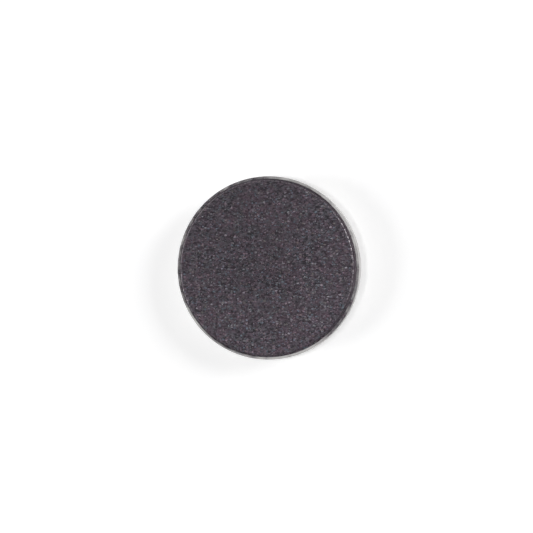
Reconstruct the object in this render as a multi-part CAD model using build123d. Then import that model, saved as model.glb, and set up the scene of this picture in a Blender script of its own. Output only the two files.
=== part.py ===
"""Round eyeshadow refill pan: a drawn tinplate pan, the powder cake pressed into it and the label under it.

Millimetres. The axis of the pan is Z, its foot ring stands on Z = 0 and its open side faces +Z.
Every piece is made of sections in the R-Z half plane, turned once round an axis.
"""

import os

from build123d import *

# Pan: one piece of tinplate, the same thickness all over.
PAN_DIAMETER = 26.0  # outside of the wall
PAN_HEIGHT = 4.0  # from the foot ring to the lip
SHEET = 0.35  # thickness of the tinplate
LIP_FLAT = 0.23  # flat left along the top of the cut lip, between its two rounded edges
FOOT_BEND = 0.65  # middle of the sheet, from the foot ring up into the wall
FOOT_WIDTH = 1.40  # flat ring that the pan stands on
PANEL_RISE = 0.25  # underside of the base panel above the foot ring
PANEL_SLOPE = 0.50  # width of the slope from the foot ring up to the panel
PANEL_BEND = 0.40  # middle of the sheet, both bends of that slope

# Anchor ring: a bead raised in the base panel, which keys the cake to the pan.
ANCHOR_DIAMETER = 12.0  # to the middle of the bead
ANCHOR_WIDTH = 2.40
ANCHOR_CREST = 0.80  # width of its flat top
ANCHOR_RISE = 0.40
ANCHOR_BEND = 0.30  # middle of the sheet

VENT_DIAMETER = 1.20  # lets the air out below the cake as it is pressed

# Cake: pressed powder, a little proud of the lip. The press tool clears the wall and leaves a narrow groove.
# The tool's axis lies off the pan's axis, towards -X, so the groove is wide at +X and nearly closed at -X.
CAKE_PROUD = 0.25  # edge of the face above the lip
CAKE_CROWN = 0.14  # middle of the face above its edge
CAKE_SHOULDER = 0.22  # radius from the face down to the side
TOOL_GAP_WIDE = 0.32  # width of the groove at +X
TOOL_GAP_NARROW = 0.04  # width of the groove at -X
GROOVE_DEPTH = 0.22  # floor of the groove below the lip

# Label: a paper disc stuck under the base panel, inside the foot ring, so that it never touches the table.
LABEL_THICKNESS = 0.12
LABEL_CLEARANCE = 0.40  # from its edge to the start of the slope

WALL_INSIDE = PAN_DIAMETER / 2 - SHEET
WALL_MIDDLE = PAN_DIAMETER / 2 - SHEET / 2
FOOT_INNER = WALL_MIDDLE - FOOT_BEND - FOOT_WIDTH
PANEL_EDGE = FOOT_INNER - PANEL_SLOPE
PANEL_TOP = PANEL_RISE + SHEET
LIP_ROUND = (SHEET - LIP_FLAT) / 2
GROOVE_FLOOR = PAN_HEIGHT - GROOVE_DEPTH
FACE_EDGE = WALL_INSIDE - (TOOL_GAP_WIDE + TOOL_GAP_NARROW) / 2
TOOL_AXIS = (TOOL_GAP_NARROW - TOOL_GAP_WIDE) / 2  # X of the press tool's own axis


def pan_section():
    """The tinplate cut through, as a band one sheet thick round its middle line.

    The line runs from the vent out over the anchor ring, down the slope to the foot ring, and up the wall.
    """
    foot = SHEET / 2
    panel = PANEL_RISE + SHEET / 2
    crest = panel + ANCHOR_RISE
    anchor = ANCHOR_DIAMETER / 2
    middle_line = [
        (VENT_DIAMETER / 2, panel),
        (anchor - ANCHOR_WIDTH / 2, panel),
        (anchor - ANCHOR_CREST / 2, crest),
        (anchor + ANCHOR_CREST / 2, crest),
        (anchor + ANCHOR_WIDTH / 2, panel),
        (PANEL_EDGE, panel),
        (FOOT_INNER, foot),
        (WALL_MIDDLE, foot),
        (WALL_MIDDLE, PAN_HEIGHT),
    ]
    bends = [ANCHOR_BEND] * 4 + [PANEL_BEND] * 2 + [FOOT_BEND]
    with BuildSketch() as section:
        with BuildLine() as line:
            FilletPolyline(*middle_line, radius=bends)
        trace(line.wire(), line_width=SHEET)
        lip_corners = section.vertices().group_by(Axis.Y)[-1]
        fillet(lip_corners, LIP_ROUND)
    return section.sketch


def cake_fill_section():
    """The powder up to the floor of the groove: the pan's inside, less the tinplate and the vent."""
    with BuildSketch() as section:
        Rectangle(WALL_INSIDE, GROOVE_FLOOR, align=(Align.MIN, Align.MIN))
        add(pan_section(), mode=Mode.SUBTRACT)
        Rectangle(VENT_DIAMETER, PANEL_TOP, align=(Align.CENTER, Align.MIN), mode=Mode.SUBTRACT)
    return section.faces().sort_by(Axis.Y)[-1]


def cake_face_section():
    """The powder above the floor of the groove: the side, the rounded shoulder and the crowned face."""
    edge_height = PAN_HEIGHT + CAKE_PROUD
    face_edge = (FACE_EDGE, edge_height)
    face_middle = (0, edge_height + CAKE_CROWN)
    with BuildSketch() as section:
        with BuildLine():
            Polyline(face_middle, (0, GROOVE_FLOOR), (FACE_EDGE, GROOVE_FLOOR), face_edge)
            RadiusArc(face_edge, face_middle, -crown_radius())
        make_face()
        corner = section.vertices().sort_by_distance(face_edge)[0]
        fillet(corner, CAKE_SHOULDER)
    return section.sketch


def crown_radius():
    """Radius of the circle that rises by the crown over the half width of the face."""
    return (FACE_EDGE**2 + CAKE_CROWN**2) / (2 * CAKE_CROWN)


def label_section():
    """The paper cut through, flat against the underside of the base panel."""
    with BuildSketch() as section:
        with Locations((0, PANEL_RISE)):
            Rectangle(PANEL_EDGE - LABEL_CLEARANCE, LABEL_THICKNESS, align=(Align.MIN, Align.MAX))
    return section.sketch


def turned(section):
    """The section stood upright in the X-Z plane and turned once round Z."""
    return revolve(Plane.XZ * section, Axis.Z)


def powder_cake():
    """The fill on the pan's axis and the pressed face on the tool's axis, as one solid."""
    return turned(cake_fill_section()) + Pos(TOOL_AXIS, 0, 0) * turned(cake_face_section())


os.makedirs("parts", exist_ok=True)
export_step(turned(pan_section()), "parts/pan.step")
export_step(powder_cake(), "parts/powder_cake.step")
export_step(turned(label_section()), "parts/base_label.step")
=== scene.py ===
"""Looks of a round eyeshadow refill: a drawn tinplate pan, the powder pressed into it and its paper label.

Metres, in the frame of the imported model: Z is the axis of the pan, and its foot ring stands on Z = 0.
"""

import math

import bpy
import numpy as np
from mathutils import Matrix, Vector


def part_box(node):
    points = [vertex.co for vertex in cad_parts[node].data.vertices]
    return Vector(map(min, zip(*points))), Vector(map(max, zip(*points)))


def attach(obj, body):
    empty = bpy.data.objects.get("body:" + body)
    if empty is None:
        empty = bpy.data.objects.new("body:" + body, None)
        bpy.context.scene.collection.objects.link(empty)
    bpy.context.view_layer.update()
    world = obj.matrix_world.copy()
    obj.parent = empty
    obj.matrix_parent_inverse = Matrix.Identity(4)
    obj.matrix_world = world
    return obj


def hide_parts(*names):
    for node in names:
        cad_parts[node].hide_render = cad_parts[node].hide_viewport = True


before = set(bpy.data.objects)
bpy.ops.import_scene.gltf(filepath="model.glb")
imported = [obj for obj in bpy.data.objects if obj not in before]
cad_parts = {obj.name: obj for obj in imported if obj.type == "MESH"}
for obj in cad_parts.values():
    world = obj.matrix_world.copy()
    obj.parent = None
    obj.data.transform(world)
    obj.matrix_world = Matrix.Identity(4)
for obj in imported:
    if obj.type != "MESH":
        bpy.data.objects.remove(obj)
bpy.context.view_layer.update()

MM = 0.001
pan_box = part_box("pan")
cake_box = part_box("powder_cake")
label_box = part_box("base_label")

# Pan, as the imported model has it.
PAN_RADIUS = pan_box[1].x
LIP_HEIGHT = pan_box[1].z
SHEET = pan_box[1].x - cake_box[1].x
PANEL_RISE = label_box[1].z
LIP_FLAT = 0.23 * MM
FOOT_BEND = 0.65 * MM
FOOT_WIDTH = 1.40 * MM
PANEL_SLOPE = 0.50 * MM
PANEL_BEND = 0.40 * MM
ANCHOR_RADIUS = 6.0 * MM
ANCHOR_WIDTH = 2.40 * MM
ANCHOR_CREST = 0.80 * MM
ANCHOR_RISE = 0.40 * MM
ANCHOR_BEND = 0.30 * MM
VENT_RADIUS = 0.60 * MM
WALL_INSIDE = PAN_RADIUS - SHEET
LIP_ROUND = (SHEET - LIP_FLAT) / 2

# Cake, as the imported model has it.
CAKE_TOP = cake_box[1].z
CAKE_CROWN = 0.14 * MM
CAKE_SHOULDER = 0.22 * MM
TOOL_GAP_WIDE = 0.32 * MM
TOOL_GAP_NARROW = 0.04 * MM
GROOVE_FLOOR = LIP_HEIGHT - 0.22 * MM
FACE_EDGE = WALL_INSIDE - (TOOL_GAP_WIDE + TOOL_GAP_NARROW) / 2
TOOL_AXIS = (TOOL_GAP_NARROW - TOOL_GAP_WIDE) / 2
HIDDEN_GAP = 0.01 * MM  # between the hidden faces of two pieces
CAKE_WALL = WALL_INSIDE - HIDDEN_GAP
CROWN_POINTS = 160
SHOULDER_POINTS = 40

# Label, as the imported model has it.
LABEL_RADIUS = label_box[1].x
LABEL_UNDERSIDE = label_box[0].z
LABEL_CORNER = 0.03 * MM  # rounded by the cutter
LABEL_SAG = 0.035 * MM  # how far the paper is pressed up into the anchor groove
LABEL_SINK = 0.005 * MM  # keeps the fibres within the label's thickness
FIBRE_RELIEF = 0.0018 * MM

# Relief of the cake.
GRAIN_RELIEF = 0.0045 * MM
PRESS_RELIEF = 0.005 * MM  # slow unevenness that the press leaves
FACE_SINK = 0.012 * MM  # keeps the highest grains near the height of the pressed face
PIT_RELIEF = 0.03 * MM
CHIP_RELIEF = 0.018 * MM
SHOULDER_BAND = 0.17 * MM  # half width of the band that crumbles
BURNISH_BAND = 0.10 * MM
BURNISH_INSET = 0.04 * MM  # how far the burnished band lies inside the middle of the shoulder
LOOSE_FILL = 0.15 * MM  # deepest loose powder that lies in the groove
LOOSE_BASE = 0.10  # share of that depth which lies there all round
LOOSE_HEAP = 0.75  # share of it which is added where powder was swept in

# Relief of the pan.
OUT_OF_ROUND = [(2, 0.010 * MM, 0.6), (3, 0.005 * MM, 2.0)]  # waves round the wall, their size and start
SHEAR_RELIEF = 0.005 * MM  # in and out on the sheared lip
DENT_DEPTH = 0.010 * MM
LIP_SINK = 0.004 * MM

# Arcs round the pan: strength, and the middle and half width in degrees from +X towards +Y.
SWEPT_AND_LIT_ARCS = [(1.0, 12, 40), (0.45, 90, 55), (1.0, 163, 48)]  # loose powder in the groove; the arcs lie where light falls, so the pale groove there is partly painted light
SMEAR_AND_SHADE_ARCS = [  # powder smeared on the lip, strongest where the lip reflects no lamp: partly painted shade
    (0.30, 64, 16),
    (0.95, 125, 42),
    (0.80, 180, 32),
    (0.88, 243, 21),
    (0.85, 336, 30),
]
SHOULDER_HIGHLIGHT_ARC = (1.0, 166, 36)  # painted highlight: the shoulder painted pale where a light falls
WIPED_ARC = (0.75, 236, 34)  # smear wiped off the outside of the lip
RUN_DOWN_ARC = (0.7, 332, 24)  # smear that runs down the outside of the wall

# Loose grains.
GROOVE_GRAINS = 520
LIP_GRAINS = 150
GROOVE_GRAIN_SIZE = 0.030  # middle size in millimetres
LIP_GRAIN_SIZE = 0.022

# Powder finish.
PIGMENT_DARK = (0.0205, 0.0172, 0.0218)
PIGMENT_LIGHT = (0.0925, 0.0772, 0.0950)
PIGMENT_WARM = (0.077, 0.055, 0.069)
# Pale loose powder; on the pressed face the same tint is also painted highlight.
LOOSE_AND_HIGHLIGHT_TINT = (0.165, 0.138, 0.160)
PIGMENT_ROUGH = 0.85
GRAIN = 0.30 * MM
GRAIN_STRETCH = (0.70, 1.10, 1.0)
GRAIN_DEPTH = 0.055 * MM
PIT = 0.42 * MM
PIT_SHADE = 0.8
CLOUD = 5 * MM
WARM_SHARE = 0.35  # of the warmer pigment in the middle of a cloud
FLECK_TINTS = [
    (0.095, 0.090, 0.103),
    (0.111, 0.084, 0.101),
    (0.072, 0.083, 0.103),
    (0.094, 0.080, 0.081),
    (0.165, 0.151, 0.171),
]
HUE_PATCH = 0.80 * MM  # the hue wavers in patches of this size
HUE_COOL = (0.945, 1.03, 1.00)
HUE_PINK = (1.055, 0.965, 1.005)
MICA = [(0.30 * MM, 0.36, 0.17), (0.17 * MM, 0.36, 0.22)]  # size, share of the cells and tilt
MICA_ROUGH = 0.45
MICA_METAL = 0.7
# Burnish, pale and glossy, set only where light falls: partly painted highlight.
BURNISH_HIGHLIGHT_TINT = (0.42, 0.38, 0.41)
BURNISH_ROUGH = 0.30
BURNISH_METAL = 0.9
BURNISH_SMOOTHING = 0.8
LOOSE_AND_HIGHLIGHT_COVER = 0.85  # how far the pale tint of loose powder and of painted highlight hides what it lies on
PAINTED_RIM_LIGHT = 0.17  # painted light: how much paler the face is painted towards its edge
PAINTED_SIDE_LIGHT = (0.08, -0.13)  # painted light: how much paler again towards +X and +Y, where a minus is darker

# Tinplate finish.
TIN_DULL = (0.46, 0.45, 0.445)
TIN_CLEAN = (0.60, 0.59, 0.575)
TIN_SMOOTH = 0.22
TIN_MATT = 0.40
CUT_STEEL = (0.54, 0.53, 0.525)
CUT_ROUGH = 0.68
ROLLING_LINE = 0.10 * MM
DRAW_MARK = 0.16 * MM
SCUFF = 0.5 * MM
MARK_DEPTH = 0.004 * MM
DULL_CLOUD = 3.5 * MM
FILM_PATCH = 0.25 * MM

# Paper finish.
PAPER_PALE = (0.80, 0.785, 0.75)
PAPER_DARK = (0.68, 0.66, 0.62)
PAPER_ROUGH = 0.88
PAPER_CLOUD = 2.2 * MM
FIBRE = 0.14 * MM
FIBRE_DEPTH = 0.012 * MM
INK = (0.13, 0.10, 0.12)
PRINTED_RING = (8.70 * MM, 8.95 * MM)
INK_EDGE = 0.03 * MM

# Stage.
BOARD_PALE = (0.92, 0.92, 0.92)
BOARD_GREY = (0.90, 0.90, 0.905)
BOARD_CLOUD = 8 * MM
BOARD_GLOW = 0.235
BOARD_HALF = 1.5
SOFTBOXES = [  # name, azimuth, elevation, distance and width in metres, and power in watts
    ("main_softbox", 22, 28, 0.5, 0.22, 1.32),
    ("side_softbox", 189, 28, 0.5, 0.22, 1.10),
    ("top_softbox", -8, 83, 0.5, 0.10, 0.56),
    ("sparkle_softbox", 196, 81, 0.4, 0.05, 0.30),
]
ROOM_LIGHT = 0.10
ROOM_OVERHEAD = 0.45  # share of the room's light that comes from straight above
ROOM_SEEN = 0.93
CAMERA_AZIMUTH = -8
CAMERA_ELEVATION = 81
CAMERA_AIM = (-0.13 * MM, 0.185 * MM)  # right of the middle of the lip, and up from it
PICTURE_WIDTH = 75.52 * MM


# ---------------------------------------------------------------- sections


def rounded(points, radii, turn_step, run_step):
    """Line through the points with an arc at each inner corner, and the normals on its left.

    An arc touches both runs at radius * tan(turn / 2) from its corner. It is walked in equal angles of at
    most turn_step, and each straight run in equal lengths of at most run_step.
    """
    points = np.asarray(points, float)
    runs = np.diff(points, axis=0)
    headings = np.unwrap(np.arctan2(runs[:, 1], runs[:, 0]))
    turns = np.diff(headings)
    trims = np.concatenate([[0.0], np.asarray(radii) * np.tan(np.abs(turns) / 2), [0.0]])
    places, facing = [], []
    for i, heading in enumerate(headings):
        along = np.array([math.cos(heading), math.sin(heading)])
        left = np.array([-along[1], along[0]])
        start = points[i] + along * trims[i]
        end = points[i + 1] - along * trims[i + 1]
        length = np.linalg.norm(end - start)
        steps = np.linspace(0, 1, max(2, math.ceil(length / run_step) + 1))
        places.append(start + np.outer(steps, end - start))
        facing.append(np.tile(left, (len(steps), 1)))
        if i == len(turns):
            continue
        side = math.copysign(1.0, turns[i])
        centre = end + left * side * radii[i]
        count = max(2, math.ceil(abs(turns[i]) / turn_step) + 1)
        angles = heading + np.linspace(0, turns[i], count)[1:-1]
        normals = np.column_stack([-np.sin(angles), np.cos(angles)])
        places.append(centre - normals * side * radii[i])
        facing.append(normals)
    return np.concatenate(places), np.concatenate(facing)


def pan_middle_line(turn_step, run_step):
    """Middle of the tinplate: out from the vent over the anchor ring, down to the foot ring, up the wall."""
    foot = SHEET / 2
    panel = PANEL_RISE + SHEET / 2
    crest = panel + ANCHOR_RISE
    wall = PAN_RADIUS - SHEET / 2
    foot_inner = wall - FOOT_BEND - FOOT_WIDTH
    corners = [
        (VENT_RADIUS, panel),
        (ANCHOR_RADIUS - ANCHOR_WIDTH / 2, panel),
        (ANCHOR_RADIUS - ANCHOR_CREST / 2, crest),
        (ANCHOR_RADIUS + ANCHOR_CREST / 2, crest),
        (ANCHOR_RADIUS + ANCHOR_WIDTH / 2, panel),
        (foot_inner - PANEL_SLOPE, panel),
        (foot_inner, foot),
        (wall, foot),
        (wall, LIP_HEIGHT),
    ]
    bends = [ANCHOR_BEND] * 4 + [PANEL_BEND] * 2 + [FOOT_BEND]
    return rounded(corners, bends, turn_step, run_step)


def pan_outline():
    """Closed outline of the tinplate: inside from the vent up to the lip, over the lip, and back outside.

    Both sides are the middle line moved half a sheet along its normals. The lip is two quarter circles with
    a flat between them.
    """
    line, normals = pan_middle_line(math.radians(7.5), 0.3 * MM)
    below_lip = line[:, 1] < LIP_HEIGHT - LIP_ROUND
    inside = (line + normals * SHEET / 2)[below_lip]
    outside = (line - normals * SHEET / 2)[below_lip]
    angles = np.linspace(0, math.pi / 2, 9)
    quarter = LIP_ROUND * np.column_stack([1 - np.cos(angles), np.sin(angles) - 1])
    inner_lip = np.array([WALL_INSIDE, LIP_HEIGHT]) + quarter
    outer_lip = (np.array([PAN_RADIUS, LIP_HEIGHT]) + quarter * (-1, 1))[::-1]
    return np.concatenate([inside, inner_lip, outer_lip, outside[::-1]])


def cake_face_outline():
    """From the middle of the face out to the wall: crown, shoulder, side and the floor of the groove.

    The crown is a circle that drops by CAKE_CROWN at the cake's edge. The shoulder is a circle that touches
    the crown from inside and the straight side.
    """
    crown_radius = (FACE_EDGE**2 + CAKE_CROWN**2) / (2 * CAKE_CROWN)
    crown_centre = CAKE_TOP - crown_radius
    shoulder_r = FACE_EDGE - CAKE_SHOULDER
    lean = math.asin(shoulder_r / (crown_radius - CAKE_SHOULDER))
    shoulder_z = crown_centre + (crown_radius - CAKE_SHOULDER) * math.cos(lean)
    crown = np.linspace(0, lean, CROWN_POINTS)
    shoulder = np.linspace(lean, math.pi / 2, SHOULDER_POINTS)
    return np.concatenate([
        np.column_stack([np.sin(crown), np.cos(crown)]) * crown_radius + (0, crown_centre),
        np.column_stack([np.sin(shoulder), np.cos(shoulder)]) * CAKE_SHOULDER + (shoulder_r, shoulder_z),
        [(FACE_EDGE, GROOVE_FLOOR), (CAKE_WALL, GROOVE_FLOOR)],
    ])


def cake_back_outline():
    """Down the wall from below the groove and in under the cake, just clear of the tinplate."""
    line, normals = pan_middle_line(math.radians(18), 2 * MM)
    clear = line + normals * (SHEET / 2 + HIDDEN_GAP)
    return clear[clear[:, 1] < GROOVE_FLOOR - LOOSE_FILL][::-1]


def label_face_outline():
    """Underside of the label from its middle to its cut edge, round the corner and up the edge."""
    angles = np.linspace(0, math.pi / 2, 6)
    quarter = LABEL_CORNER * np.column_stack([np.sin(angles), 1 - np.cos(angles)])
    corner = quarter + (LABEL_RADIUS - LABEL_CORNER, LABEL_UNDERSIDE)
    edge_top = PANEL_RISE - 0.01 * MM
    return np.concatenate([[(0, LABEL_UNDERSIDE)], corner, [(LABEL_RADIUS, edge_top)]])


# ---------------------------------------------------------------- surfaces


def at_lengths(outline, wanted):
    """Points of an outline at these lengths along it, with the normals on its left."""
    runs = np.linalg.norm(np.diff(outline, axis=0), axis=1)
    length = np.concatenate([[0], np.cumsum(runs)])
    step = length[-1] * 1e-4

    def place(at):
        return np.stack([np.interp(at, length, outline[:, k]) for k in (0, 1)], axis=-1)

    along = place(wanted + step) - place(wanted - step)
    along /= np.linalg.norm(along, axis=-1, keepdims=True)
    return place(wanted), np.stack([-along[..., 1], along[..., 0]], axis=-1)


def length_of(outline):
    """Length of an outline from its first point to its last."""
    return np.linalg.norm(np.diff(outline, axis=0), axis=1).sum()


def concentric_disc(cells):
    """Square grid of points wrapped onto the unit disc: each square shell becomes a circle.

    A point (a, b) with |a| >= |b| goes to radius a and angle b / a * 45 degrees. The others are the same
    with the axes swapped. Gives radius, cosine and sine on a (cells + 1) by (cells + 1) grid.
    """
    a, b = np.meshgrid(np.linspace(-1, 1, cells + 1), np.linspace(-1, 1, cells + 1), indexing="ij")
    wide = np.abs(a) >= np.abs(b)
    radius = np.where(wide, a, b)
    other = np.where(wide, b, a)
    share = np.divide(other, radius, out=np.zeros_like(a), where=radius != 0) * math.pi / 4
    angle = np.where(wide, share, math.pi / 2 - share)
    flip = np.sign(radius) + (radius == 0)
    return np.abs(radius), np.cos(angle) * flip, np.sin(angle) * flip


def grid_faces(rows, columns, closed=False):
    """Corner numbers of the quads of a grid of points stored row by row.

    A closed grid joins its last column to its first.
    """
    across = columns if closed else columns - 1
    i, j = np.meshgrid(np.arange(rows - 1), np.arange(across), indexing="ij")
    nearby = (j + 1) % columns
    corners = [i * columns + j, (i + 1) * columns + j, (i + 1) * columns + nearby, i * columns + nearby]
    return np.stack([c.ravel() for c in corners], axis=1)


def border_of(cells):
    """Numbers of the points on the border of a square grid, in order round it from its first corner."""
    size = cells + 1
    step = np.arange(cells)
    return np.concatenate([
        step * size,
        cells * size + step,
        (cells - step) * size + cells,
        cells - step,
    ])


def mesh_object(name, points, faces):
    """Piece from an array of points and a list of arrays of faces, smooth all over. It rides on the pan."""
    mesh = bpy.data.meshes.new(name)
    mesh.from_pydata(points.tolist(), [], [face for group in faces for face in group.tolist()])
    mesh.polygons.foreach_set("use_smooth", np.ones(len(mesh.polygons), bool))
    mesh.update()
    piece = bpy.data.objects.new(name, mesh)
    bpy.context.scene.collection.objects.link(piece)
    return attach(piece, "root")


def mark_points(piece, name, values):
    """Named number on every point of a piece, for its material to read."""
    marks = piece.data.attributes.new(name, "FLOAT", "POINT")
    marks.data.foreach_set("value", np.ascontiguousarray(values, dtype=np.float32).ravel())


def smooth_step(value, low, high):
    """Zero at low, one at high, and 3 s^2 - 2 s^3 of the share s between them."""
    share = np.clip((value - low) / (high - low), 0, 1)
    return share * share * (3 - 2 * share)


def ripple(seed, finest, coarsest, span=30 * MM, cells=1024):
    """Square tile of smooth random height, mean 0 and spread 1, which repeats without a seam.

    White noise keeps only the waves between the finest and the coarsest length, by a soft band filter on
    its Fourier transform.
    """
    noise = np.random.default_rng(seed).standard_normal((cells, cells))
    wave = np.fft.fftfreq(cells, span / cells)
    pitch = np.hypot(wave[:, None], wave[None, :])
    keep = np.exp(-((pitch * finest) ** 2)) * (1 - np.exp(-((pitch * coarsest) ** 2)))
    tile = np.fft.ifft2(np.fft.fft2(noise) * keep).real
    return tile / tile.std()


def read_tile(tile, x, y, span=30 * MM):
    """Height of a tile at places x and y, by straight blending between its four nearest cells."""
    cells = len(tile)
    u, v = (x / span % 1) * cells, (y / span % 1) * cells
    i, j = np.floor(u).astype(int), np.floor(v).astype(int)
    s, t = u - i, v - j
    i, j, k, m = i % cells, j % cells, (i + 1) % cells, (j + 1) % cells
    return (tile[i, j] * (1 - s) * (1 - t) + tile[k, j] * s * (1 - t)
            + tile[i, m] * (1 - s) * t + tile[k, m] * s * t)


def ring_noise(seed, angle, slowest, fastest):
    """Random height round a circle, mean 0 and spread 1: a sum of whole waves of random size and start."""
    dice = np.random.default_rng(seed)
    waves = np.arange(slowest, fastest + 1)
    sizes = dice.standard_normal(len(waves))
    starts = dice.uniform(0, 2 * math.pi, len(waves))
    height = (sizes[:, None] * np.cos(waves[:, None] * angle[None, :] + starts[:, None])).sum(axis=0)
    return height / height.std()


def along_arc(angle, strength, middle, half_width):
    """An arc's strength in its middle, falling as exp(-(apart / half_width)^4) to nothing past its ends."""
    apart = np.abs((np.degrees(angle) - middle + 180) % 360 - 180)
    return strength * np.exp(-((apart / half_width) ** 4))


def strongest_arc(angle, arcs):
    """The greatest of several arcs at each angle."""
    return np.max([along_arc(angle, *arc) for arc in arcs], axis=0)


def loose_depth(angle):
    """Mean depth of the loose powder in the groove, from its floor."""
    return LOOSE_FILL * (LOOSE_BASE + LOOSE_HEAP * strongest_arc(angle, SWEPT_AND_LIT_ARCS))


def fine_disc(cells, face, back, reach_of, relief, shift, up=True):
    """Closed round piece with a fine square grid on its face and coarse rings behind.

    reach_of gives the length along the face's outline for each shell of the concentric disc, from its share
    of 0 to 1. A point is the outline's point at that length, carried round the axis, moved along its normal
    by relief(x, y, reach), where x and y are its place on the face rolled out flat, and moved along X by
    shift(radius). The back's outline is carried round with one column to four edges of the grid's border,
    meets them in seven-sided faces, and ends in a fan on the axis. With up False the face looks down, so
    the faces turn round. Gives points, faces and each point's flat place.
    """
    share, cosine, sine = concentric_disc(cells)
    reach = reach_of(share)
    place, normal = at_lengths(face, reach)
    flat = np.stack([reach * cosine, reach * sine, reach], axis=-1).reshape(-1, 3)
    height = relief(flat[:, 0], flat[:, 1], flat[:, 2]).reshape(share.shape)
    moved = place + normal * (1 if up else -1) * height[..., None]
    top = np.stack([
        moved[..., 0] * cosine + shift(place[..., 0]),
        moved[..., 0] * sine,
        moved[..., 1],
    ], axis=-1).reshape(-1, 3)
    border = border_of(cells)
    edges = 4
    columns = len(border) // edges
    corners = border[::edges]
    rings = np.stack([
        np.outer(back[:, 0], cosine.ravel()[corners]),
        np.outer(back[:, 0], sine.ravel()[corners]),
        np.repeat(back[:, 1:], columns, axis=1),
    ], axis=-1).reshape(-1, 3)
    first = len(top)
    apex = first + len(rings)
    points = np.concatenate([top, rings, [[0, 0, back[-1, 1]]]])
    column = np.arange(columns)
    after = (column + 1) % columns
    upper = [border[column * edges + k] for k in range(edges)] + [border[after * edges]]
    meeting = np.column_stack([*upper, first + after, first + column])
    last = first + (len(back) - 1) * columns
    fan = np.column_stack([last + column, last + after, np.full(columns, apex)])
    ring_faces = grid_faces(len(back), columns, closed=True) + first
    groups = [grid_faces(cells + 1, cells + 1), meeting[:, ::-1], ring_faces, fan[:, ::-1]]
    if not up:
        groups = [group[:, ::-1] for group in groups]
    hidden = np.tile([0, 0, reach.max()], (len(points) - first, 1))
    return points, groups, np.concatenate([flat, hidden])


# ---------------------------------------------------------------- pieces


def make_cake():
    """Pressed powder: fine grain and small pits on the face, a crumbling shoulder, a loosely filled groove.

    Relief on the face = grain + slow unevenness of the press - pits, on the shoulder less chips, and in the
    groove the loose powder's depth instead. The face, pressed off the pan's axis, is shifted along X, and
    the shift fades out across the groove. The burnish mark is a narrow band on the shoulder, broken into
    beads and strongest in the swept arcs, which lie where light falls: partly burnish, partly a painted
    highlight. The loose mark covers the groove there, pale as loose powder and as painted light, and adds a
    painted highlight on the shoulder at one side.
    """
    face = cake_face_outline()
    crown_end = length_of(face[:CROWN_POINTS])
    shoulder_end = length_of(face[:CROWN_POINTS + SHOULDER_POINTS])
    shoulder_middle = (crown_end + shoulder_end) / 2
    floor_start = length_of(face[:-1])
    full = length_of(face)
    grain = ripple(seed=11, finest=0.16 * MM, coarsest=0.45 * MM)
    crumble = ripple(seed=12, finest=0.22 * MM, coarsest=0.9 * MM)
    press = ripple(seed=13, finest=3 * MM, coarsest=9 * MM)

    def band_on_shoulder(reach, middle, half_width):
        """Bell curve of the length along the outline."""
        return np.exp(-(((reach - middle) / half_width) ** 2))

    def reach_of(share):
        crown_share = 0.82  # of the shells, which leaves the others for the shoulder and the groove
        return np.interp(share, [0, crown_share, 1], [0, crown_end - 0.15 * MM, full])

    def relief(x, y, reach):
        fine = read_tile(grain, x, y)
        coarse = read_tile(crumble, x, y)
        below_face = smooth_step(reach, shoulder_end, floor_start)
        pressed = fine * GRAIN_RELIEF + read_tile(press, x, y) * PRESS_RELIEF - FACE_SINK
        pits = smooth_step(coarse + 0.5 * fine, 2.0, 3.4) * PIT_RELIEF
        crumbling = band_on_shoulder(reach, shoulder_middle, SHOULDER_BAND)
        chips = smooth_step(coarse, 0.2, 1.8) * crumbling * CHIP_RELIEF
        heap = loose_depth(np.arctan2(y, x)) + LOOSE_FILL * (0.10 * coarse + 0.06 * fine)
        on_floor = smooth_step(reach, shoulder_end + 0.10 * MM, floor_start + 0.03 * MM)
        loose = np.clip(heap, 0, LOOSE_FILL) * on_floor
        return (pressed - pits) * (1 - below_face) - chips + loose * below_face

    def shift(radius):
        return TOOL_AXIS * np.clip((CAKE_WALL - radius) / (CAKE_WALL - FACE_EDGE), 0, 1)

    points, faces, flat = fine_disc(280, face, cake_back_outline(), reach_of, relief, shift)
    piece = mesh_object("pressed_powder", points, faces)
    x, y, reach = flat.T
    angle = np.arctan2(y, x)
    swept_and_lit = strongest_arc(angle, SWEPT_AND_LIT_ARCS)
    beads = smooth_step(read_tile(crumble, x, y), 1.2, -0.4)
    # Burnish band, strongest in the arcs where light falls: partly painted highlight.
    burnish_highlight_band = band_on_shoulder(reach, shoulder_middle - BURNISH_INSET, BURNISH_BAND)
    mark_points(piece, "burnish_highlight", burnish_highlight_band * (0.35 + 0.65 * beads) * (0.08 + 0.92 * swept_and_lit))
    # Pale loose powder in the groove where light falls, and a painted highlight on one side of the shoulder.
    in_groove = smooth_step(reach, shoulder_end - 0.05 * MM, shoulder_end + 0.10 * MM) * swept_and_lit
    shoulder_highlight = band_on_shoulder(reach, shoulder_middle, SHOULDER_BAND) * along_arc(angle, *SHOULDER_HIGHLIGHT_ARC)
    mark_points(piece, "loose", np.maximum(in_groove, shoulder_highlight * (0.4 + 0.6 * beads)))
    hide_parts("powder_cake")
    return piece


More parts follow.
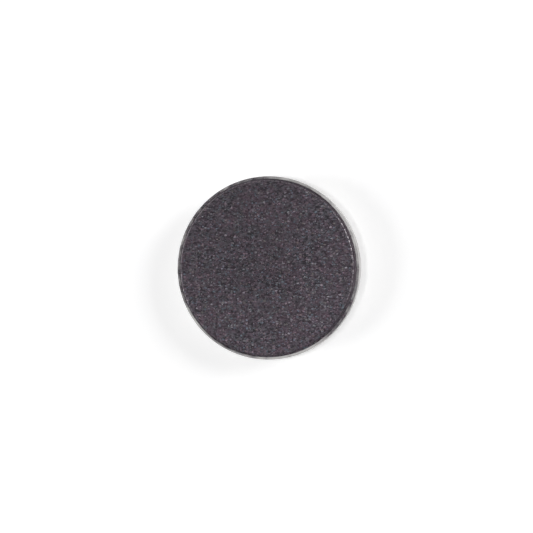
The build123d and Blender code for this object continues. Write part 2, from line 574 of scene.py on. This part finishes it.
def powder_film_and_shade(angle, height):
    """Film of powder on the pan, partly painted shade, from 0 to 1, for each point of its outline and each
    angle.

    On the lip it is the strongest smear + a random unevenness. Inside, it turns into the powder that covers
    the wall. Outside it is weaker where the lip was wiped, fades out below the lip, and runs down the wall
    in one place. The first half of the outline's points is the inside.
    """
    uneven = strongest_arc(angle, SMEAR_AND_SHADE_ARCS) + 0.16 * ring_noise(23, angle, 3, 50)
    uneven = np.clip(uneven, 0.05, 1)
    covered = 0.8 * smooth_step(height, LIP_HEIGHT - 0.14 * MM, LIP_HEIGHT - 0.20 * MM)
    wiped = 1 - along_arc(angle, *WIPED_ARC)
    near_lip = smooth_step(height, LIP_HEIGHT - 0.2 * MM, LIP_HEIGHT - 0.02 * MM)
    upper_wall = smooth_step(height, LIP_HEIGHT - 1.8 * MM, LIP_HEIGHT - 0.6 * MM)
    run_down = along_arc(angle, *RUN_DOWN_ARC) * upper_wall
    is_inside = np.arange(len(height))[:, None] < len(height) // 2
    return np.where(is_inside, np.maximum(uneven, covered), np.maximum(uneven * wiped * near_lip, run_down))


def make_pan():
    """Drawn tinplate pan: its outline turned round the axis, very slightly out of round as a pressing is.

    Radius = the outline's + a few whole waves that grow as the square of the height + the waver of the
    sheared lip. Height = the outline's, less small dents in the lip. The film mark is the powder smeared on
    it, partly painted shade on the lip, the wall mark is one on upright stretches, and the cut mark is one
    on the sheared steel of the lip.
    """
    outline = pan_outline()
    columns, rows = 448, len(outline)
    angle = np.arange(columns) / columns * 2 * math.pi
    radius, height = outline[:, :1], outline[:, 1:]
    out_of_round = sum(size * np.cos(waves * angle + start) for waves, size, start in OUT_OF_ROUND)
    at_lip = smooth_step(height, LIP_HEIGHT - LIP_ROUND, LIP_HEIGHT)
    sheared = SHEAR_RELIEF * ring_noise(21, angle, 5, 60)
    dents = DENT_DEPTH * np.clip(ring_noise(22, angle, 9, 40) - 0.6, 0, 1.2)
    wide = radius + (height / LIP_HEIGHT) ** 2 * out_of_round + at_lip * sheared
    tall = height - at_lip * (dents + LIP_SINK)
    points = np.stack([wide * np.cos(angle), wide * np.sin(angle), tall + 0 * angle], axis=-1)
    quads = grid_faces(rows, columns, closed=True)
    closing = grid_faces(2, columns, closed=True)
    closing = np.where(closing < columns, closing + (rows - 1) * columns, closing - columns)
    piece = mesh_object("tinplate_pan", points.reshape(-1, 3), [quads, closing])

    mark_points(piece, "film_and_shade", powder_film_and_shade(angle, height))
    level = np.abs(np.gradient(outline[:, 0])) / (np.hypot(*np.gradient(outline, axis=0).T) + 1e-9)
    mark_points(piece, "wall", np.repeat(smooth_step(level, 0.8, 0.3), columns))
    cut = smooth_step(height, LIP_HEIGHT - LIP_ROUND, LIP_HEIGHT - 0.2 * LIP_ROUND)
    mark_points(piece, "cut", np.repeat(cut, columns))
    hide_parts("pan")
    return piece


def make_label():
    """Paper disc under the base panel. It is pressed up a little into the anchor groove and at the vent.

    Relief, down from the paper's underside = fibres - a soft band under the groove - a dimple at the vent.
    """
    face = label_face_outline()
    full = length_of(face)
    fibres = ripple(seed=31, finest=0.25 * MM, coarsest=0.8 * MM)

    def reach_of(share):
        return share * full

    def relief(x, y, reach):
        band = np.exp(-(((reach - ANCHOR_RADIUS) / (0.55 * MM)) ** 2))
        dimple = np.exp(-((reach / (0.5 * MM)) ** 4))
        fades = smooth_step(reach, full, LABEL_RADIUS - 0.1 * MM)
        pressed_in = LABEL_SAG * (band + 0.6 * dimple)
        return (read_tile(fibres, x, y) * FIBRE_RELIEF - pressed_in - LABEL_SINK) * fades

    back = np.array([[LABEL_RADIUS, PANEL_RISE], [LABEL_RADIUS / 2, PANEL_RISE]])
    points, faces, _ = fine_disc(200, face, back, reach_of, relief, shift=np.zeros_like, up=False)
    piece = mesh_object("paper_label", points, faces)
    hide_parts("base_label")
    return piece


def lumpy_grain():
    """Twenty-sided grain of radius 1: two poles, and between them two rings of five, half a step apart."""
    step = np.arange(5)
    after = (step + 1) % 5
    flat, up = 2 / math.sqrt(5), 1 / math.sqrt(5)

    def ring(turn, height):
        return np.column_stack([flat * np.cos(turn), flat * np.sin(turn), np.full(5, height)])

    turn = step * 2 * math.pi / 5
    corners = np.concatenate([[[0, 0, 1]], ring(turn, up), ring(turn + math.pi / 5, -up), [[0, 0, -1]]])
    faces = np.concatenate([
        np.column_stack([0 * step, 1 + step, 1 + after]),
        np.column_stack([1 + step, 6 + step, 1 + after]),
        np.column_stack([1 + after, 6 + step, 6 + after]),
        np.column_stack([0 * step + 11, 6 + after, 6 + step]),
    ])
    return corners, faces


def random_turns(dice, count):
    """Rotation matrices that are even over all turns, from random unit quaternions (w, x, y, z)."""
    spin = dice.standard_normal((count, 4))
    w, x, y, z = (spin / np.linalg.norm(spin, axis=1, keepdims=True)).T
    return np.stack([
        np.stack([1 - 2 * (y * y + z * z), 2 * (x * y - w * z), 2 * (x * z + w * y)], axis=-1),
        np.stack([2 * (x * y + w * z), 1 - 2 * (x * x + z * z), 2 * (y * z - w * x)], axis=-1),
        np.stack([2 * (x * z - w * y), 2 * (y * z + w * x), 1 - 2 * (x * x + y * y)], axis=-1),
    ], axis=1)


def make_loose_powder():
    """Loose grains in the groove and on the lip: one lumpy grain at random sizes, lengths and turns.

    In the groove a grain keeps clear of both sides and is sunk a little into the fill. The groove's width is
    its mean + half its change * cos(angle), and grains are thinned out where it is narrow. On the lip a
    grain's height follows the rounded edge.
    """
    dice = np.random.default_rng(41)
    angle = dice.uniform(0, 2 * math.pi, GROOVE_GRAINS * 3)
    gap = (TOOL_GAP_WIDE + TOOL_GAP_NARROW) / 2 + (TOOL_GAP_WIDE - TOOL_GAP_NARROW) / 2 * np.cos(angle)
    kept = np.nonzero(dice.uniform(0, TOOL_GAP_WIDE, len(angle)) < gap)[0][:GROOVE_GRAINS]
    angle, gap = angle[kept], gap[kept]
    size = dice.lognormal(math.log(GROOVE_GRAIN_SIZE), 0.35, len(kept)) * MM
    size = np.clip(size, 0.012 * MM, gap * 0.3)
    radius = WALL_INSIDE - gap + size * 1.2 + dice.uniform(0, 1, len(kept)) * (gap - size * 2.4)
    height = GROOVE_FLOOR + loose_depth(angle) + size * 0.4

    on_right = LIP_GRAINS // 3
    on_left = LIP_GRAINS - on_right
    lip_angle = np.radians(np.concatenate([dice.normal(331, 24, on_right), dice.uniform(70, 265, on_left)]))
    lip_size = dice.lognormal(math.log(LIP_GRAIN_SIZE), 0.3, LIP_GRAINS) * MM
    lip_size = np.clip(lip_size, 0.010 * MM, 0.04 * MM)
    across = dice.uniform(-0.5, 0.5, LIP_GRAINS) * (SHEET - LIP_ROUND)
    past_flat = np.clip(np.abs(across) - LIP_FLAT / 2, 0, LIP_ROUND)
    lip_top = LIP_HEIGHT - LIP_ROUND + np.sqrt(LIP_ROUND**2 - past_flat**2) - 0.01 * MM
    angle = np.concatenate([angle, lip_angle])
    size = np.concatenate([size, lip_size])
    radius = np.concatenate([radius, PAN_RADIUS - SHEET / 2 + across])
    height = np.concatenate([height, lip_top + lip_size * 0.45])

    corners, faces = lumpy_grain()
    count = len(angle)
    lumps = dice.uniform(0.72, 1.15, (count, len(corners), 1))
    stretch = dice.uniform(0.65, 1.3, (count, 1, 3))
    turns = random_turns(dice, count)
    centre = np.column_stack([radius * np.cos(angle), radius * np.sin(angle), height])
    shaped = np.einsum("nij,nkj->nki", turns, corners * lumps * stretch) * size[:, None, None]
    points = (centre[:, None, :] + shaped).reshape(-1, 3)
    every = (np.arange(count)[:, None, None] * len(corners) + faces).reshape(-1, 3)
    return mesh_object("loose_powder", points, [every])


# ---------------------------------------------------------------- node helpers


def add(tree, kind, inputs=(), **settings):
    """New shader node with its inputs fed and its settings set."""
    node = tree.nodes.new("ShaderNode" + kind)
    for name, value in settings.items():
        setattr(node, name, value)
    feed(tree, node, inputs)
    return node


def feed(tree, node, inputs):
    """Sets inputs of a node, by name or number, to values or links them to output sockets."""
    for name, value in dict(inputs).items():
        if isinstance(value, bpy.types.NodeSocket):
            tree.links.new(value, node.inputs[name])
        else:
            node.inputs[name].default_value = value


def maths(tree, operation, a, b=0.0, c=0.0):
    return add(tree, "Math", {0: a, 1: b, 2: c}, operation=operation).outputs[0]


def vectors(tree, operation, a, b=(0.0, 0.0, 0.0)):
    return add(tree, "VectorMath", {0: a, 1: b}, operation=operation).outputs[0]


def scaled(tree, vector, by):
    """A vector or colour times a value."""
    node = add(tree, "VectorMath", {0: vector}, operation="SCALE")
    feed(tree, node, {"Scale": by})
    return node.outputs[0]


def remap(tree, value, low, high, to_low=0.0, to_high=1.0):
    """Smooth step of a value from one range to another."""
    limits = {"Value": value, "From Min": low, "From Max": high, "To Min": to_low, "To Max": to_high}
    return add(tree, "MapRange", limits, interpolation_type="SMOOTHSTEP").outputs["Result"]


def noise(tree, place, size, detail=2.0, roughness=0.5, stretch=(1, 1, 1)):
    """Cloudy value round 0.5 with lumps of a size. Stretch squeezes it along each axis."""
    spread = add(tree, "Mapping", {"Vector": place, "Scale": stretch}).outputs[0]
    look = {"Vector": spread, "Scale": 1 / size, "Detail": detail, "Roughness": roughness}
    return add(tree, "TexNoise", look).outputs["Fac"]


def blend_colours(tree, share, a, b, mode="MIX"):
    """Colour a with colour b over it by a share from 0 to 1, or another of the Mix node's modes."""
    node = add(tree, "Mix", {0: share}, data_type="RGBA", blend_type=mode)
    for name, value in (("A", a), ("B", b)):
        socket = [i for i in node.inputs if i.name == name and i.type == "RGBA"][0]
        if isinstance(value, bpy.types.NodeSocket):
            tree.links.new(value, socket)
        else:
            socket.default_value = (*value, 1)
    return [o for o in node.outputs if o.type == "RGBA"][0]


def blend_values(tree, share, a, b):
    """Value a with value b over it by a share: a + share * (b - a)."""
    return maths(tree, "MULTIPLY_ADD", share, maths(tree, "SUBTRACT", b, a), a)


def blend_normals(tree, share, a, b):
    """Normal a turned towards normal b by a share from 0 to 1."""
    apart = vectors(tree, "SUBTRACT", b, a)
    return vectors(tree, "NORMALIZE", vectors(tree, "ADD", a, scaled(tree, apart, share)))


def mark(tree, name):
    """Value of a named mark on the piece's points."""
    return add(tree, "Attribute", attribute_name=name).outputs["Fac"]


def object_place(tree):
    return add(tree, "TexCoord").outputs["Object"]


def new_group(name, inputs, outputs):
    """Empty shader node group. Inputs are (name, kind, default); outputs are (name, kind)."""
    tree = bpy.data.node_groups.new(name, "ShaderNodeTree")
    for label, kind, default in inputs:
        socket = tree.interface.new_socket(label, in_out="INPUT", socket_type="NodeSocket" + kind)
        socket.default_value = default
    for label, kind in outputs:
        tree.interface.new_socket(label, in_out="OUTPUT", socket_type="NodeSocket" + kind)
    return tree, tree.nodes.new("NodeGroupInput").outputs, tree.nodes.new("NodeGroupOutput").inputs


def use_group(tree, group, inputs=()):
    """Outputs of a group that is placed in a tree with its own values."""
    node = tree.nodes.new("ShaderNodeGroup")
    node.node_tree = group
    feed(tree, node, inputs)
    return node.outputs


def new_material(name, fixed):
    """Material with a Principled shader. Fixed are the sockets that are the same all over."""
    material = bpy.data.materials.new(name)
    material.use_nodes = True
    shader = material.node_tree.nodes["Principled BSDF"]
    for socket, value in fixed.items():
        shader.inputs[socket].default_value = value
    return material, material.node_tree, shader


# ---------------------------------------------------------------- shared effects


def make_mica_group():
    """Flat mica flecks in a powder: ragged cells of random tint and tilt, of which only a share are flecks.

    Tint and tilt are drawn from the random colour of the cell. A fleck is solid in its middle and fades out
    towards the edge of its cell.
    """
    tree, given, out = new_group(
        "mica_flecks",
        [("Size", "Float", 0.2 * MM), ("Share", "Float", 0.3), ("Tilt", "Float", 0.5)],
        [("Mask", "Float"), ("Tint", "Color"), ("Lean", "Vector")],
    )
    scale = maths(tree, "DIVIDE", 1.0, given["Size"])
    place = object_place(tree)
    wander = add(tree, "TexNoise", {"Vector": place, "Scale": scale, "Detail": 2.0}).outputs["Color"]
    wander = scaled(tree, vectors(tree, "SUBTRACT", wander, (0.5, 0.5, 0.5)), given["Size"])
    place = vectors(tree, "ADD", place, wander)
    place = add(tree, "Mapping", {"Vector": place, "Scale": GRAIN_STRETCH}).outputs[0]
    cells = add(tree, "TexVoronoi", {"Vector": place, "Scale": scale, "Randomness": 1.0})
    dice = add(tree, "SeparateColor", {"Color": cells.outputs["Color"]})
    chosen = maths(tree, "LESS_THAN", dice.outputs["Red"], given["Share"])
    inside = remap(tree, cells.outputs["Distance"], 0.62, 0.25)
    tree.links.new(maths(tree, "MULTIPLY", chosen, inside), out["Mask"])
    ramp = add(tree, "ValToRGB", {"Fac": dice.outputs["Green"]})
    stops = ramp.color_ramp.elements
    stops[0].position, stops[0].color = 0.0, (*FLECK_TINTS[0], 1)
    stops[1].position, stops[1].color = 0.93, (*FLECK_TINTS[-1], 1)
    for i, tint in enumerate(FLECK_TINTS[1:-1], 1):
        stops.new(i / (len(FLECK_TINTS) - 1)).color = (*tint, 1)
    ramp.color_ramp.interpolation = "CONSTANT"
    tree.links.new(ramp.outputs["Color"], out["Tint"])
    second = add(tree, "TexWhiteNoise", {"Vector": cells.outputs["Color"]}, noise_dimensions="3D")
    centred = vectors(tree, "SUBTRACT", second.outputs["Color"], (0.5, 0.5, 0.5))
    tree.links.new(scaled(tree, centred, maths(tree, "MULTIPLY", given["Tilt"], 2.0)), out["Lean"])
    return tree


def make_powder_group(mica):
    """Shimmering pressed powder: matt pigment with pits between its grains, and two sizes of mica flecks.

    The hue wavers between cool and pink in small patches, and slow clouds of it are warmer.
    """
    tree, given, out = new_group(
        "shimmer_powder",
        [("Normal", "Vector", (0, 0, 1))],
        [("Color", "Color"), ("Roughness", "Float"), ("Metallic", "Float"), ("Normal", "Vector")],
    )
    place = object_place(tree)
    grain = noise(tree, place, GRAIN, 3.0, 0.65, GRAIN_STRETCH)
    cloud = noise(tree, place, CLOUD)
    pits = remap(tree, noise(tree, place, PIT, 1.0, 0.5), 0.40, 0.30)
    pigment = blend_colours(tree, remap(tree, grain, 0.34, 0.66), PIGMENT_DARK, PIGMENT_LIGHT)
    pigment = blend_colours(tree, remap(tree, cloud, 0.35, 0.65, 0.0, WARM_SHARE), pigment, PIGMENT_WARM)
    bump = {"Height": grain, "Distance": GRAIN_DEPTH, "Normal": given["Normal"]}
    facing = add(tree, "Bump", bump).outputs["Normal"]
    colour, flecked = pigment, None
    for size, share, tilt in MICA:
        flecks = use_group(tree, mica, {"Size": size, "Share": share, "Tilt": tilt})
        colour = blend_colours(tree, flecks["Mask"], colour, flecks["Tint"])
        towards = vectors(tree, "SUBTRACT", vectors(tree, "ADD", given["Normal"], flecks["Lean"]), facing)
        facing = vectors(tree, "ADD", facing, scaled(tree, towards, flecks["Mask"]))
        flecked = flecks["Mask"] if flecked is None else maths(tree, "MAXIMUM", flecked, flecks["Mask"])
    flecked = maths(tree, "MULTIPLY", flecked, maths(tree, "SUBTRACT", 1.0, pits))
    colour = blend_colours(tree, maths(tree, "MULTIPLY", pits, PIT_SHADE), colour, PIGMENT_DARK)
    patches = remap(tree, noise(tree, place, HUE_PATCH, 2.0, 0.6), 0.35, 0.65)
    hue = blend_colours(tree, patches, HUE_COOL, HUE_PINK)
    colour = blend_colours(tree, 1.0, colour, hue, "MULTIPLY")
    tree.links.new(colour, out["Color"])
    tree.links.new(remap(tree, flecked, 0.0, 1.0, PIGMENT_ROUGH, MICA_ROUGH), out["Roughness"])
    tree.links.new(maths(tree, "MULTIPLY", flecked, MICA_METAL), out["Metallic"])
    tree.links.new(vectors(tree, "NORMALIZE", facing), out["Normal"])
    return tree


def make_mottle_group():
    """Slow unevenness of a surface: broad clouds with finer ones on them, from 0 to 1."""
    inputs = [("Size", "Float", 3 * MM), ("Contrast", "Float", 1.0)]
    tree, given, out = new_group("mottle", inputs, [("Value", "Float")])
    place = object_place(tree)
    scale = maths(tree, "DIVIDE", 1.0, given["Size"])
    clouds = add(tree, "TexNoise", {"Vector": place, "Scale": scale, "Detail": 5.0, "Roughness": 0.6})
    centred = maths(tree, "SUBTRACT", clouds.outputs["Fac"], 0.5)
    spread = maths(tree, "MULTIPLY_ADD", centred, maths(tree, "MULTIPLY", given["Contrast"], 3.0), 0.5)
    tree.links.new(add(tree, "Clamp", {"Value": spread}).outputs[0], out["Value"])
    return tree


# ---------------------------------------------------------------- materials


def make_powder_material(powder):
    """Pressed powder, burnished where the shoulder turns over, and pale where loose powder lies in the
    groove.

    The burnish and the pale groove lie where light falls, and one side of the shoulder is painted pale: all
    of it partly painted highlight. The face is painted a little paler towards its rim and on one side:
    painted light.
    """
    fixed = {"Specular IOR Level": 0.25, "Diffuse Roughness": 0.6}
    material, tree, shader = new_material("plum_shimmer_powder", fixed)
    facing = add(tree, "NewGeometry").outputs["Normal"]
    look = use_group(tree, powder, {"Normal": facing})
    # Burnish band on the shoulder, partly painted highlight.
    speckle = remap(tree, noise(tree, object_place(tree), GRAIN, 2.0, 0.6), 0.36, 0.62)
    burnish_highlight = maths(tree, "MULTIPLY", mark(tree, "burnish_highlight"), speckle)
    # Painted light: the face is painted paler towards its rim and towards +X, and darker towards +Y.
    place = scaled(tree, object_place(tree), 1 / FACE_EDGE)
    flat = vectors(tree, "MULTIPLY", place, (1.0, 1.0, 0.0))
    out = add(tree, "VectorMath", {0: flat}, operation="LENGTH").outputs["Value"]
    painted_light_slant = {0: flat, 1: (*PAINTED_SIDE_LIGHT, 0.0)}
    across = add(tree, "VectorMath", painted_light_slant, operation="DOT_PRODUCT").outputs["Value"]
    tone = maths(tree, "ADD", remap(tree, out, 0.1, 0.8, 1.0, 1.0 + PAINTED_RIM_LIGHT), across)
    colour = scaled(tree, look["Color"], tone)
    # Pale where loose powder lies, and where a painted highlight falls on the shoulder.
    loose = maths(tree, "MULTIPLY", mark(tree, "loose"), LOOSE_AND_HIGHLIGHT_COVER)
    colour = blend_colours(tree, loose, colour, LOOSE_AND_HIGHLIGHT_TINT)
    smoothed = maths(tree, "MULTIPLY", burnish_highlight, BURNISH_SMOOTHING)
    feed(tree, shader, {
        "Base Color": blend_colours(tree, burnish_highlight, colour, BURNISH_HIGHLIGHT_TINT),
        "Roughness": blend_values(tree, burnish_highlight, look["Roughness"], BURNISH_ROUGH),
        "Metallic": blend_values(tree, burnish_highlight, look["Metallic"], BURNISH_METAL),
        "Normal": blend_normals(tree, smoothed, look["Normal"], facing),
    })
    return material


def make_loose_material(powder):
    """The same powder as loose grains, without the pressed shoulder's gloss."""
    fixed = {"Specular IOR Level": 0.2, "Diffuse Roughness": 0.8}
    material, tree, shader = new_material("loose_shimmer_powder", fixed)
    look = use_group(tree, powder, {"Normal": add(tree, "NewGeometry").outputs["Normal"]})
    feed(tree, shader, {
        "Base Color": blend_colours(tree, 0.5, look["Color"], LOOSE_AND_HIGHLIGHT_TINT),
        "Roughness": look["Roughness"],
        "Metallic": look["Metallic"],
        "Normal": look["Normal"],
    })
    return material


def make_tin_material(powder, mottle):
    """Bright tinplate: rolling lines along X on the base, draw marks up the wall, dull spots, and a powder
    film that is partly painted shade on the lip.

    The sheared steel of the lip is rougher than the tinned sides.
    """
    material, tree, shader = new_material("drawn_tinplate", {"Specular IOR Level": 0.5})
    place = object_place(tree)
    upright = mark(tree, "wall")
    rolled = noise(tree, place, ROLLING_LINE, 3.0, 0.6, (0.02, 1.0, 0.3))
    drawn = noise(tree, place, DRAW_MARK, 3.0, 0.6, (1.0, 1.0, 0.05))
    lines = blend_values(tree, upright, rolled, drawn)
    scuffs = remap(tree, noise(tree, place, SCUFF, 4.0, 0.7, (1.0, 1.0, 2.5)), 0.58, 0.70)
    dull = use_group(tree, mottle, {"Size": DULL_CLOUD, "Contrast": 1.2})["Value"]
    tin = blend_colours(tree, dull, TIN_CLEAN, TIN_DULL)
    tin = blend_colours(tree, remap(tree, lines, 0.45, 0.75, 0.0, 0.30), tin, TIN_DULL)
    rough = blend_values(tree, dull, TIN_SMOOTH, TIN_MATT)
    rough = maths(tree, "ADD", rough, maths(tree, "MULTIPLY", scuffs, 0.15))
    cut = mark(tree, "cut")
    tin = blend_colours(tree, cut, tin, CUT_STEEL)
    rough = blend_values(tree, cut, rough, CUT_ROUGH)
    relief = maths(tree, "SUBTRACT", lines, maths(tree, "MULTIPLY", scuffs, 0.5))
    facing = add(tree, "Bump", {"Height": relief, "Distance": MARK_DEPTH}).outputs["Normal"]
    dust = use_group(tree, powder, {"Normal": facing})
    patchy = noise(tree, place, FILM_PATCH, 3.0, 0.6)
    # Powder film on the pan, partly painted shade on the lip where it reflects no lamp.
    film_and_shade = maths(tree, "MULTIPLY", mark(tree, "film_and_shade"), remap(tree, patchy, 0.25, 0.50, 0.55, 1.0))
    feed(tree, shader, {
        "Base Color": blend_colours(tree, film_and_shade, tin, dust["Color"]),
        "Roughness": blend_values(tree, film_and_shade, rough, dust["Roughness"]),
        "Metallic": blend_values(tree, film_and_shade, 1.0, dust["Metallic"]),
        "Normal": blend_normals(tree, film_and_shade, facing, dust["Normal"]),
    })
    return material


def make_paper_material(mottle):
    """Uncoated label paper with crossed fibres and a thin printed ring."""
    fixed = {"Specular IOR Level": 0.3, "Diffuse Roughness": 0.4}
    material, tree, shader = new_material("label_paper", fixed)
    place = object_place(tree)
    along = noise(tree, place, FIBRE, 4.0, 0.6, (0.25, 1.0, 1.0))
    across = noise(tree, place, FIBRE, 4.0, 0.6, (1.0, 0.3, 1.0))
    fibres = maths(tree, "MAXIMUM", along, across)
    cloudy = use_group(tree, mottle, {"Size": PAPER_CLOUD, "Contrast": 0.9})["Value"]
    cloudy = maths(tree, "MULTIPLY", cloudy, 0.35)
    tone = maths(tree, "MULTIPLY_ADD", remap(tree, fibres, 0.5, 0.75), 0.5, cloudy)
    paper = blend_colours(tree, tone, PAPER_PALE, PAPER_DARK)
    flat = vectors(tree, "MULTIPLY", place, (1.0, 1.0, 0.0))
    radius = add(tree, "VectorMath", {0: flat}, operation="LENGTH").outputs["Value"]
    inside = remap(tree, radius, PRINTED_RING[0] - INK_EDGE, PRINTED_RING[0] + INK_EDGE)
    outside = remap(tree, radius, PRINTED_RING[1] + INK_EDGE, PRINTED_RING[1] - INK_EDGE)
    printed = maths(tree, "MULTIPLY", inside, outside)
    ink = maths(tree, "MULTIPLY", printed, remap(tree, fibres, 0.80, 0.55, 0.55, 0.95))
    feed(tree, shader, {
        "Base Color": blend_colours(tree, ink, paper, INK),
        "Roughness": maths(tree, "MULTIPLY_ADD", ink, -0.15, PAPER_ROUGH),
        "Normal": add(tree, "Bump", {"Height": fibres, "Distance": FIBRE_DEPTH}).outputs["Normal"],
    })
    return material


def make_floor_material(mottle):
    """Pale matt board on a light table. It can be seen through from below."""
    fixed = {"Roughness": 0.9, "Specular IOR Level": 0.2, "Emission Strength": BOARD_GLOW}
    material, tree, shader = new_material("pale_board", fixed)
    uneven = use_group(tree, mottle, {"Size": BOARD_CLOUD, "Contrast": 0.8})["Value"]
    tone = blend_colours(tree, uneven, BOARD_PALE, BOARD_GREY)
    feed(tree, shader, {"Base Color": tone, "Emission Color": tone})
    below = add(tree, "NewGeometry").outputs["Backfacing"]
    clear = add(tree, "BsdfTransparent")
    both = add(tree, "MixShader", {0: below, 1: shader.outputs[0], 2: clear.outputs[0]})
    tree.links.new(both.outputs[0], tree.nodes["Material Output"].inputs["Surface"])
    return material


# ---------------------------------------------------------------- stage


def make_floor(material):
    """Square board that the foot ring stands on."""
    mesh = bpy.data.meshes.new("floor")
    corners = [(x * BOARD_HALF, y * BOARD_HALF, 0) for x, y in ((-1, -1), (1, -1), (1, 1), (-1, 1))]
    mesh.from_pydata(corners, [], [(0, 1, 2, 3)])
    floor = bpy.data.objects.new("floor", mesh)
    bpy.context.scene.collection.objects.link(floor)
    floor.data.materials.append(material)


def direction(azimuth, elevation):
    """Unit vector towards an azimuth, in degrees from +X towards +Y, and an elevation in degrees."""
    turn, rise = math.radians(azimuth), math.radians(elevation)
    return Vector((math.cos(turn) * math.cos(rise), math.sin(turn) * math.cos(rise), math.sin(rise)))


def make_light(name, azimuth, elevation, distance, size, power):
    """Square soft light that faces the pan from a distance."""
    light = bpy.data.lights.new(name, "AREA")
    light.shape = "SQUARE"
    light.size = size
    light.energy = power
    lamp = bpy.data.objects.new(name, light)
    towards = direction(azimuth, elevation)
    lamp.location = towards * distance
    lamp.rotation_mode = "QUATERNION"
    lamp.rotation_quaternion = towards.to_track_quat("Z", "Y")
    bpy.context.scene.collection.objects.link(lamp)


def make_room():
    """Even light from all round, dimmer overhead, and a pale backdrop where the camera sees past it."""
    world = bpy.data.worlds.new("studio")
    world.use_nodes = True
    tree = world.node_tree
    height = add(tree, "SeparateXYZ", {"Vector": add(tree, "TexCoord").outputs["Generated"]}).outputs["Z"]
    around = remap(tree, height, 0.90, 0.99, ROOM_LIGHT, ROOM_LIGHT * ROOM_OVERHEAD)
    to_camera = add(tree, "LightPath").outputs["Is Camera Ray"]
    strength = blend_values(tree, to_camera, around, ROOM_SEEN)
    feed(tree, tree.nodes["Background"], {"Color": (1, 1, 1, 1), "Strength": strength})
    bpy.context.scene.world = world


def make_camera():
    """Camera that looks nearly straight down from a little towards +X, with +Y up the picture."""
    back = direction(CAMERA_AZIMUTH, CAMERA_ELEVATION)
    up = (Vector((0, 1, 0)) - back * back.y).normalized()
    right = up.cross(back)
    lens = bpy.data.cameras.new("camera")
    lens.lens = 100
    lens.sensor_width = 36
    lens.clip_start = 0.01
    camera = bpy.data.objects.new("camera", lens)
    aim = Vector((0, 0, LIP_HEIGHT)) + right * CAMERA_AIM[0] + up * CAMERA_AIM[1]
    camera.location = aim + back * (PICTURE_WIDTH / 2 / math.tan(lens.angle / 2))
    camera.rotation_mode = "QUATERNION"
    camera.rotation_quaternion = Matrix((right, up, back)).transposed().to_quaternion()
    bpy.context.scene.collection.objects.link(camera)
    bpy.context.scene.camera = camera


cake = make_cake()
pan = make_pan()
label = make_label()
loose = make_loose_powder()

powder_look = make_powder_group(make_mica_group())
mottle_look = make_mottle_group()
cake.data.materials.append(make_powder_material(powder_look))
pan.data.materials.append(make_tin_material(powder_look, mottle_look))
label.data.materials.append(make_paper_material(mottle_look))
loose.data.materials.append(make_loose_material(powder_look))

make_floor(make_floor_material(mottle_look))
for softbox in SOFTBOXES:
    make_light(*softbox)
make_room()
make_camera()
bpy.context.scene.view_settings.view_transform = "Standard"
